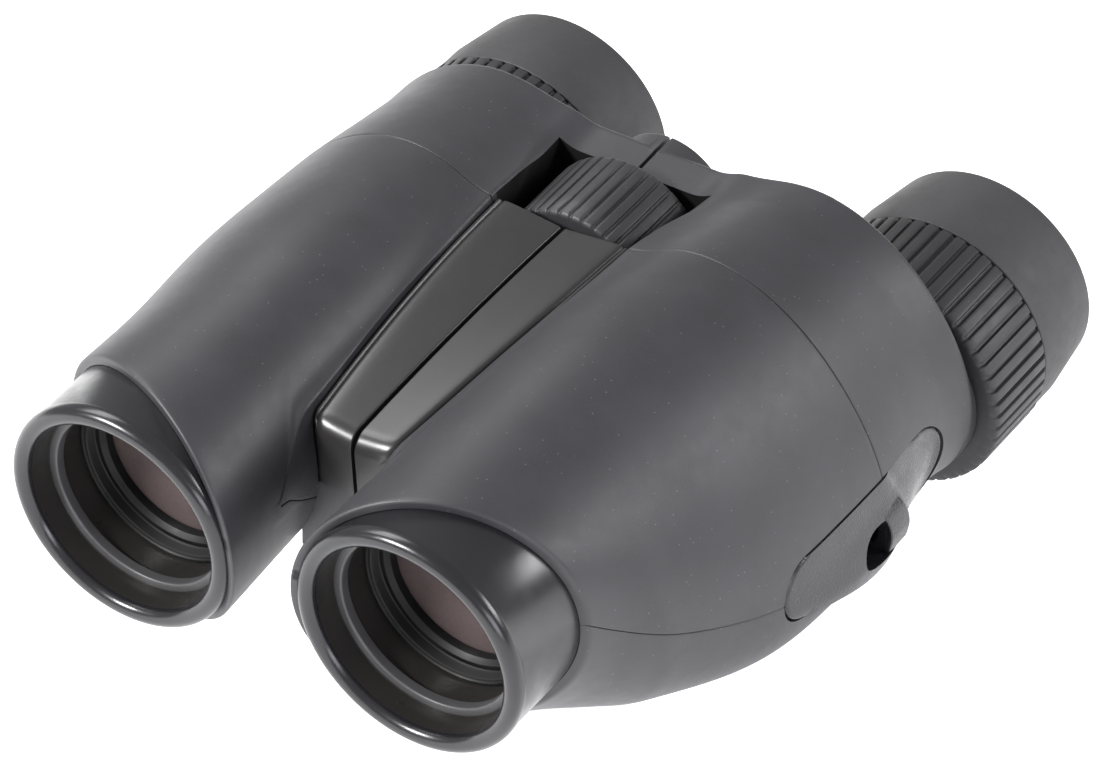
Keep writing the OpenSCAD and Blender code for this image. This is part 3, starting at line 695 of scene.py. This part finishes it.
SHELF = material("anodised_grey", (0.05, 0.05, 0.052), 0.42, tone=0.1, grain=0.25,
                 grain_size=0.15)
COATED = material("coated_glass", (0.09, 0.068, 0.068), 0.16, tone=0.05, rough_vary=0.02,
                  specular=0.6, grain=0.02)
STEEL = material("steel", (0.35, 0.35, 0.36), 0.32, metallic=1.0, tone=0.06, grain=0.1)
BRASS = material("dark_brass", (0.2, 0.14, 0.07), 0.4, metallic=1.0, tone=0.08, grain=0.1)
FRAME = material("frame_plastic", (0.03, 0.03, 0.031), 0.5, tone=0.1, grain=0.3)
GLASS = material("prism_glass", (0.25, 0.3, 0.32), 0.06, tone=0.03, rough_vary=0.01,
                 specular=1.0, grain=0.02)

# The finish of the CAD nodes that stay, by material slot
FINISH = {"gloss_black": TUBE, "satin_black": PLATE, "housing_rubber": HOUSING, "lug_plastic": LUG,
          "matt_black_metal": MATT_AND_SLOT_SHADE, "coated_glass": COATED, "prism_glass": GLASS,
          "frame_plastic": FRAME, "arm_metal": STEEL, "brass": BRASS, "spring_steel": STEEL,
          "screw_steel": STEEL, "shaft_steel": STEEL, "eyecup_rubber": RUBBER,
          "ring_rubber": RIB_RUBBER, "wheel_rubber": RIB_RUBBER, "cap_plastic": FRAME}


# ---------------------------------------------------------------- objectives

MOUTH_R, TUBE_R = 14.7, 17.2
TUBE_TUCK = 1.7  # how far the tube reaches behind the housing's front edge
BAFFLE_Y, BAFFLE_R = 4.7, 14.3
LENS_SEAT_R, CLEAR_R = 12.5, 11.2


def behind_lip(shift):
    """Everything behind the housing's oblique front edge, moved back by shift."""
    return hexahedron([[x, LIP_Y + shift + LIP_SLOPE * (x - OBJ_X) if near else 200, z]
                       for z in (-60, 60) for near in (True, False) for x in (-40, 90)])


def objective_tube():
    """The tube, with a rounded lip and an oblique end under the housing. Its core has a ledge
    for the baffle."""
    bead, depth = 0.2, 1.4  # how far the lip stands out from the tube, and how deep it is rounded
    lip_mid, lip_half = (MOUTH_R + TUBE_R + bead) / 2, (TUBE_R + bead - MOUTH_R) / 2
    lip = [(lip_mid + lip_half * math.cos(t), depth - depth * math.sin(t))
           for t in np.linspace(math.pi, 0, 17)]
    wide = lathe("tube", OBJ_X, 0, [*lip, (TUBE_R + bead, 1.8), (TUBE_R + 0.12, 2.2),
                                    (TUBE_R, 2.4), (TUBE_R, 25), (MOUTH_R, 25)], FINE)
    core = lathe("core", OBJ_X, 0, [
        (MOUTH_R - 0.1, 3.0), (15.7, 3.0), (15.7, 8), (14.6, 8), (14.6, 26), (13.65, 26),
        (13.65, 6.2), (BAFFLE_R, 6.2), (BAFFLE_R, BAFFLE_Y), (MOUTH_R - 0.1, BAFFLE_Y)], FINE)
    core = less(core, cylinder(OBJ_X, 0, -1, BAFFLE_Y, MOUTH_R, FINE))
    tube = plus(less(wide, behind_lip(TUBE_TUCK)), core)
    paint(tube, lambda c, n: c.y > 1.5 and math.hypot(c.x - OBJ_X, c.z) < MOUTH_R + 0.02, BORE)
    return tube


def baffle_ring():
    inner_r, back = 13.1, BAFFLE_Y + 1.5
    return lathe("baffle", OBJ_X, 0, round_corners(
        [(BAFFLE_R, BAFFLE_Y), (inner_r, BAFFLE_Y), (inner_r, back), (BAFFLE_R, back)],
        [0.05, 0.35, 0.1, 0.05]), FINE)


def objective_cell():
    """The cell that slides in the tube, with a thread ahead of the lens."""
    pitch, threads = 0.34, []
    for k in range(5):
        threads += [(12.62, 12.2 - k * pitch), (12.9, 12.03 - k * pitch)]
    return lathe("cell", OBJ_X, 0, [
        (13.6, 24), (CLEAR_R, 24), (CLEAR_R, 18.5), (LENS_SEAT_R, 18.5), (LENS_SEAT_R, 12.3),
        *threads, (12.95, 10.5), (13.15, 10.32), (13.3, 10.3), (13.45, 10.3), (13.6, 10.5)], FINE)


def retaining_ring():
    outer_r, front, back = LENS_SEAT_R - 0.02, 12.35, 14.2
    return lathe("retainer", OBJ_X, 0, round_corners(
        [(outer_r, front), (11.9, front), (CLEAR_R, 12.95), (CLEAR_R, back), (outer_r, back)],
        [0.05, 0.1, 0.1, 0.05, 0.05]))


def lens_mesh(x, z, radius, front, front_bow, back, back_bow, steps):
    """A lens, from where its two faces cross its axis and how far each bows back at the edge."""
    share = np.linspace(0, 1, 14)
    return lathe("lens", x, z, [(radius * q, front + front_bow * q * q) for q in share]
                 + [(radius * q, back - back_bow * q * q) for q in share[::-1]], steps)


add_pair("tube", objective_tube(), TUBE, "gloss_black", "objective_tube")
add_pair("baffle", baffle_ring(), SHELF, "matt_black_metal", "baffle_ring")

cell, retainer = objective_cell(), retaining_ring()
lens = lens_mesh(OBJ_X, 0, 12.45, 13.3, 1.2, 18.45, 0.6, 160)
for side, hand in SIDES:
    body = hand + "_objective"
    add(hand + "_cell", cell, body, MATT_AND_SLOT_SHADE, "matt_black_metal", body + "_cell", side=side)
    add(hand + "_retainer", retainer, body, MATT_AND_SLOT_SHADE, "matt_black_metal", hand + "_retaining_ring",
        side=side)
    add(hand + "_lens", lens, body, COATED, "coated_glass", body + "_lens", side=side)


# ---------------------------------------------------------------- housing

APRON_Z, SKIRT_Z = -1.5, 2.4  # underside of the plate's front, and of its sides behind that
WEB_Y, ARM_Y = (26.2, 35.1), (36, 46.7)  # where the hinge's knuckles and its arm pass the shell
EYE_BORE_R = 12.35


def lug_hole():
    return prism_x(lug_outline(0.18), 36, 60)


def tube_room():
    return less(cylinder(OBJ_X, 0, -20, 24, TUBE_R + 0.06, FINE), behind_lip(TUBE_TUCK))


def plate_plan(grow, start, end):
    """The plate's outline from above, as a list of (x, y) from its inner front corner."""
    corner_r = 2
    side = [(plate_half(y) + grow, y) for y in np.linspace(PLATE_Y0 + corner_r, end, 30)]
    corner = [(5 + (corner_r + grow) * math.cos(t),
               PLATE_Y0 + corner_r + (corner_r + grow) * math.sin(t))
              for t in np.linspace(-math.pi / 2, 0, 8)]
    return [(start, PLATE_Y0 - grow), *corner[:-1], *side, (start, end)]


def plate_room():
    room = prism_z(plate_plan(0.22, -2, PLATE_Y1 + 0.4), APRON_Z - 0.2, 14)
    return less(room, box_mesh((-3, PLATE_Y0 + 1.9, -6), (15, 75, SKIRT_Z - 0.2)))


def upper_shell():
    """The upper front shell, with a wall that closes the flank below the plate's front."""
    flank = prism_y([(0.75, -1.65), (9.5, -1.65), (10.5, -15), (7.6, -15), (3.1, -8.2)], 22.6, 24.6)
    return less(plus(front_shell(True), flank), tube_room(), lug_hole(), plate_room(),
                box_mesh((-1, WEB_Y[0], HINGE_Z - 3.5), (11, WEB_Y[1], HINGE_Z + 3.5)),
                box_mesh((-1, ARM_Y[0], -10.2), (13, ARM_Y[1], HINGE_Z + 0.4)))


def lower_shell():
    return less(front_shell(False), tube_room(), lug_hole())


def cover_outside():
    """The outside of the rear cover, with half of the boss that ends the hinge."""
    ys = np.concatenate([SEAM_Y + SEAM_GAP + edge_steps(SEAM_ROUND), [70.7, SLOT_Y0 - 0.01],
                         np.linspace(SLOT_Y0 + 0.01, HOUSING_END - 1.2, 60),
                         HOUSING_END - edge_steps(1.0)[::-1]])
    drops = rounding(ys - SEAM_Y - SEAM_GAP, SEAM_ROUND) + rounding(HOUSING_END - ys, END_ROUND)
    cover = tube_mesh("cover", closed_rings(ys, drops, 300, bridge_from=SLOT_Y0))
    boss = lathe("boss", 0, HINGE_Z, round_corners([(0, 93), (9.1, 93), (9.1, 97.2), (0, 97.2)],
                                                   [0, 0.1, 0.7, 0], 6), 160)
    boss = both(boss, box_mesh((0.3, 90, -40), (20, 99, 30)))
    # a collar round the eyepiece opening hides the cam behind the ribbed ring
    collar = lathe("collar", EYE_X, EYE_Z, [(12.3, 93), (14.6, 93), (14.6, 95.5), (12.3, 95.5)],
                   160)
    return plus(cover, boss, collar)


def cover_inside():
    """The room in the rear cover, which leaves a wall round the wheel's slot."""
    inside = tube_mesh("inside", closed_rings(np.linspace(66, 91.6, 12), WALL, 120))
    return less(inside, cylinder(0, HINGE_Z, 60, 95, 14.2),
                box_mesh((-1, 60, HINGE_Z), (13.8, 95, 30)))


def rear_cover():
    """The rear cover: the wheel's slot, the gap along the hinge and the eyepiece bore cut out."""
    gap_y, gap_x = SLOT_Y1 - 0.5, 0.3
    keel_z = HINGE_Z - 7.1
    slot_top = hexahedron([[x, y, z] for z in (HINGE_Z, 30)
                           for y, x_out in ((SLOT_Y0, 11), (SLOT_Y1, 12.4)) for x in (-3, x_out)])
    cover = less(
        cover_outside(), cover_inside(), slot_top,
        cylinder(0, HINGE_Z, SLOT_Y0, SLOT_Y1, 13),
        prism_z([(-2, gap_y), (gap_x, gap_y), (gap_x, 99), (-2, 99)], -40, 30),
        prism_y([(-2, HINGE_Z), (gap_x, HINGE_Z), (3.2, keel_z), (8.7, keel_z), (8.7, -16),
                 (4, -24), (-2, -24)], gap_y, 99),
        cylinder(0, HINGE_Z, SLOT_Y1 - 1, 91.8, 6.3),
        cylinder(0, HINGE_Z, 90, 99, 3.3, 64),
        cylinder(EYE_X, EYE_Z, 90, 97, EYE_BORE_R, 160), plate_room(), lug_hole())
    # The walls and floor of the wheel's slot are painted near-black: painted shade for the dark of
    # the recess, on the housing's own rubber.
    paint(cover, lambda c, n: SLOT_Y0 - 0.1 < c.y < SLOT_Y1 + 0.05 and c.x < 12.5
          and (n.z < 0.5 or c.z < HINGE_Z + 4), MATT_AND_SLOT_SHADE)
    return cover


add_pair("upper_housing", upper_shell(), HOUSING, "housing_rubber", "upper_shell")
add_pair("lower_housing", lower_shell(), HOUSING, "housing_rubber", "lower_shell")
add_pair("rear_housing", rear_cover(), HOUSING, "housing_rubber", "rear_cover")


# ---------------------------------------------------------------- top plates

def plate_top(x, y, half):
    """Height of the plate: a rounded front, and a raised line along the outer edge at half."""
    front_round = 2.5
    z = 10.05 - ((y - 56) / 28) ** 2 + 0.11 * x
    front = max(0.0, front_round - (y - PLATE_Y0))
    z -= front_round - math.sqrt(max(front_round**2 - front**2, 0))
    z -= float(np.interp(half - x, [0, 0.06, 0.2, 0.45, 0.6, 0.75, 0.95, 1.2, 1.6, 2.4, 3.4],
                         [0.75, 0.45, 0.33, 0.33, 0.52, 0.6, 0.34, 0.18, 0.09, 0.02, 0]))
    z -= float(rounding(np.array(x - 0.3), 0.22)) + float(rounding(np.array(PLATE_Y1 - y), 0.3))
    return z


def plate_mesh():
    """A plate that is solid at its front and hollow behind that, 0.3 mm from the centre plane."""
    corner_r = 2.0
    ys = np.concatenate([
        PLATE_Y0 + np.array([0, 0.02, 0.07, 0.16, 0.3, 0.5, 0.75, 1.05, 1.4, 1.8, 2.2, 2.6]),
        np.linspace(PLATE_Y0 + 3.2, PLATE_Y1 - 0.6, 60), PLATE_Y1 - edge_steps(0.3)[::-1]])
    from_edge = np.array([0, 0.03, 0.06, 0.12, 0.2, 0.3, 0.45, 0.52, 0.6, 0.67, 0.75, 0.85, 0.95,
                          1.05, 1.2, 1.4, 1.6, 2.0, 2.4, 2.9, 3.4])
    top, base = [], []
    for y in ys:
        dy = max(0.0, corner_r - (y - PLATE_Y0))
        half = plate_half(y) - (corner_r - math.sqrt(max(corner_r**2 - dy * dy, 0)))
        xs = np.concatenate([half - from_edge, np.linspace(half - from_edge[-1], 0.55, 8)[1:],
                             [0.5, 0.42, 0.36, 0.32, 0.3]])
        top.append([[x, y, plate_top(x, y, half)] for x in xs])
        base.append([[x, y, APRON_Z] for x in xs])
    hollow_y = PLATE_Y0 + 1.6
    rim = [(plate_half(y) - 1.4, y) for y in np.linspace(23.6, 75, 12)]
    return less(patch_mesh("plate", np.array(top), np.array(base)),
                box_mesh((-1, hollow_y, -5), (15, 75, SKIRT_Z)),
                prism_z([(-1, hollow_y), *rim, (-1, 75)], -5, 7.4))


add_pair("plate", plate_mesh(), PLATE, "satin_black", "top_plate", crease=40)


# ---------------------------------------------------------------- lug, wheel, rings and eyecups

def strap_lug():
    """The panel with its slot, the block that walls the slot, and the bar across it."""
    outer_x, slot_x = 42.3, 43.4
    inside = tube_mesh("inside", closed_rings(np.linspace(44, 92, 16), 0.5, 200))
    block = both(slot_prism(1.1, outer_x), inside)
    return plus(less(plus(lug_panel(), block), slot_prism(0, slot_x)), bar_mesh())


def focus_wheel():
    bore_r, r = 3.05, 12.15
    outline = [(bore_r, WHEEL_Y0), (11.3, WHEEL_Y0), (11.85, WHEEL_Y0 + 0.15), (r, WHEEL_Y0 + 0.5),
               (r, WHEEL_Y0 + 4), (r, WHEEL_Y1 - 5), (12.13, WHEEL_Y1 - 1.6),
               (11.95, WHEEL_Y1 - 0.8), (11.6, WHEEL_Y1 - 0.3), (11.1, WHEEL_Y1),
               (bore_r, WHEEL_Y1)]
    return lathe("wheel", 0, HINGE_Z, outline, count=40,
                 depth=[0, 0, 0.1, 0.32, 0.38, 0.38, 0.34, 0.2, 0.05, 0, 0])


RING_Y0, RING_Y1, RING_R = 95.8, 108.6, 17.75


def ribbed_ring():
    floor_y = RING_Y0 + 1.4
    outline = [(CLEAR_R, RING_Y0), (16.2, RING_Y0), (17.1, RING_Y0 + 0.12), (17.6, RING_Y0 + 0.45),
               (RING_R, RING_Y0 + 0.95), (RING_R, RING_Y0 + 4), (RING_R, RING_Y1 - 4),
               (RING_R, RING_Y1 - 0.3), (RING_R - 0.1, RING_Y1 - 0.1), (RING_R - 0.3, RING_Y1),
               (14.55, RING_Y1), (14.55, floor_y), (CLEAR_R, floor_y)]
    return lathe("ring", EYE_X, EYE_Z, outline, count=50,
                 depth=[0, 0, 0.2, 0.45, 0.55, 0.55, 0.55, 0.55, 0.5, 0.3, 0, 0, 0])


def eyecup():
    """A soft cup that narrows to a rounded rim, with a shelf round the eye lens."""
    front, back, shelf_front, shelf_back = RING_Y1 + 0.25, 123.0, 118.0, 118.8
    return lathe("cup", EYE_X, EYE_Z, round_corners([
        (14.5, front), (17.5, front), (17.5, front + 5), (16.28, back), (13.7, back),
        (13.6, shelf_back), (11.5, shelf_back), (11.5, shelf_front), (14.5, shelf_front)],
        [0, 0.25, 3, 1.1, 1.2, 0.6, 0.3, 0, 0], 8))


add_pair("lug", strap_lug(), LUG, "lug_plastic", "strap_lug", crease=42)
add("wheel", focus_wheel(), "focus_wheel", RIB_RUBBER, "wheel_rubber", "focus_wheel", crease=45)
grip = ribbed_ring()
add("zoom_grip", grip, "zoom_ring", RIB_RUBBER, "ring_rubber", "zoom_ring", crease=45)
add("dioptre_grip", grip, "dioptre_ring", RIB_RUBBER, "ring_rubber", "dioptre_ring", side=-1,
    crease=45)
add_pair("eyecup", eyecup(), RUBBER, "eyecup_rubber", "eyecup")
for (side, hand), body, lens_r, front, back in zip(
        SIDES, ("left_barrel", "right_ocular"), (10.15, 9.55), (111, 110), (116, 114.4)):
    add(hand + "_eye_glass", lens_mesh(EYE_X, EYE_Z, lens_r, front, 1, back, 1.2, 128), body,
        COATED, "coated_glass", hand + "_eye_lens", side=side)

for part in frame["record"]["subparts"]:
    node = NODES[part["node"]]
    node.data.materials.clear()
    node.data.materials.append(FINISH[part["material_slot"]])


# ---------------------------------------------------------------- floor, light and camera

# The object is seen nose-down by this angle, so the floor is tilted under it. The floor is below
# the object's lowest point by the drop of the -X barrel when it is folded, and a little more.
LEAN_ANGLE = math.radians(4.65)
UP = Vector((0, math.sin(LEAN_ANGLE), math.cos(LEAN_ANGLE)))
FOLD_DROP = 0.0177
FLOOR_HALF = 3.0

bpy.context.view_layer.update()
low = min((o.matrix_world @ v.co).dot(UP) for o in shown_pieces() for v in o.data.vertices)
floor_mesh = bpy.data.meshes.new("floor")
floor_mesh.from_pydata([(x * FLOOR_HALF, y * FLOOR_HALF, 0)
                        for x, y in ((-1, -1), (1, -1), (1, 1), (-1, 1))], [], [(0, 1, 2, 3)])
floor = bpy.data.objects.new("floor", floor_mesh)
bpy.context.scene.collection.objects.link(floor)
floor.rotation_euler = (-LEAN_ANGLE, 0, 0)
floor.location = UP * (low - FOLD_DROP)
pale = bpy.data.materials.new("pale_floor")
pale.use_nodes = True
for socket, value in (("Base Color", (0.9, 0.9, 0.9, 1)), ("Roughness", 0.9),
                      ("Emission Color", (1, 1, 1, 1)), ("Emission Strength", 0.68)):
    pale.node_tree.nodes["Principled BSDF"].inputs[socket].default_value = value
floor_mesh.materials.append(pale)
floor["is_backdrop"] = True

scene = bpy.context.scene
scene.view_settings.view_transform = "Standard"
world = bpy.data.worlds.new("world")
world.use_nodes = True
world.node_tree.nodes["Background"].inputs["Color"].default_value = (1, 1, 1, 1)
world.node_tree.nodes["Background"].inputs["Strength"].default_value = 0.45
scene.world = world

# Rectangular lights that face the object: direction from it, distance, width, height, power, colour
SOFTBOXES = {
    "key": ((0.72, 0.58, 0.36), 1.1, 0.4, 0.3, 4.5, (0.97, 0.97, 1)),
    "top_left": ((-0.7, 0.2, 0.9), 1.2, 0.8, 0.5, 9, (1, 1, 1)),
    "front_left": ((-0.45, -0.65, 0.62), 1.1, 0.26, 0.2, 17, (1, 1, 1)),
    "side": ((0.9, -0.35, 0.3), 1.2, 0.7, 0.35, 5.5, (0.93, 0.91, 1)),
}
for name, (direction, distance, width, height, power, colour) in SOFTBOXES.items():
    light = bpy.data.lights.new(name, "AREA")
    light.shape = "RECTANGLE"
    light.size, light.size_y = width, height
    light.energy = power
    light.color = colour
    softbox = bpy.data.objects.new(name, light)
    scene.collection.objects.link(softbox)
    softbox.location = Vector(direction).normalized() * distance
    softbox.rotation_euler = (-Vector(direction)).to_track_quat("-Z", "Y").to_euler()

# The camera's place in millimetres from the point midway between the two objective rims: DISTANCE
# back along its view, then ASIDE to its right and ABOVE in its own up direction
AZIMUTH, ELEVATION, ROLL = math.radians(36.4), math.radians(40.13), math.radians(-3.42)
DISTANCE, ASIDE, ABOVE = 900.6, 37.6, 25.65
FOCAL_LENGTH, SENSOR_WIDTH = 228.9, 36
back = Vector((math.sin(AZIMUTH) * math.cos(ELEVATION), -math.cos(AZIMUTH) * math.cos(ELEVATION),
               math.sin(ELEVATION)))
right = Vector((math.cos(AZIMUTH), math.sin(AZIMUTH), 0))
up = back.cross(right)
cam_x = math.cos(ROLL) * right + math.sin(ROLL) * up
cam_y = -math.sin(ROLL) * right + math.cos(ROLL) * up
camera_data = bpy.data.cameras.new("camera")
camera_data.lens = FOCAL_LENGTH
camera_data.sensor_width = SENSOR_WIDTH
camera_data.clip_start, camera_data.clip_end = 0.01, 20
camera = bpy.data.objects.new("camera", camera_data)
scene.collection.objects.link(camera)
place = (back * DISTANCE + cam_x * ASIDE + cam_y * ABOVE + Vector((0, RIM_Y, AXIS_Z))) * MM
turn = Matrix((cam_x, cam_y, back)).transposed()
camera.matrix_world = Matrix.Translation(place) @ turn.to_4x4()
scene.camera = camera
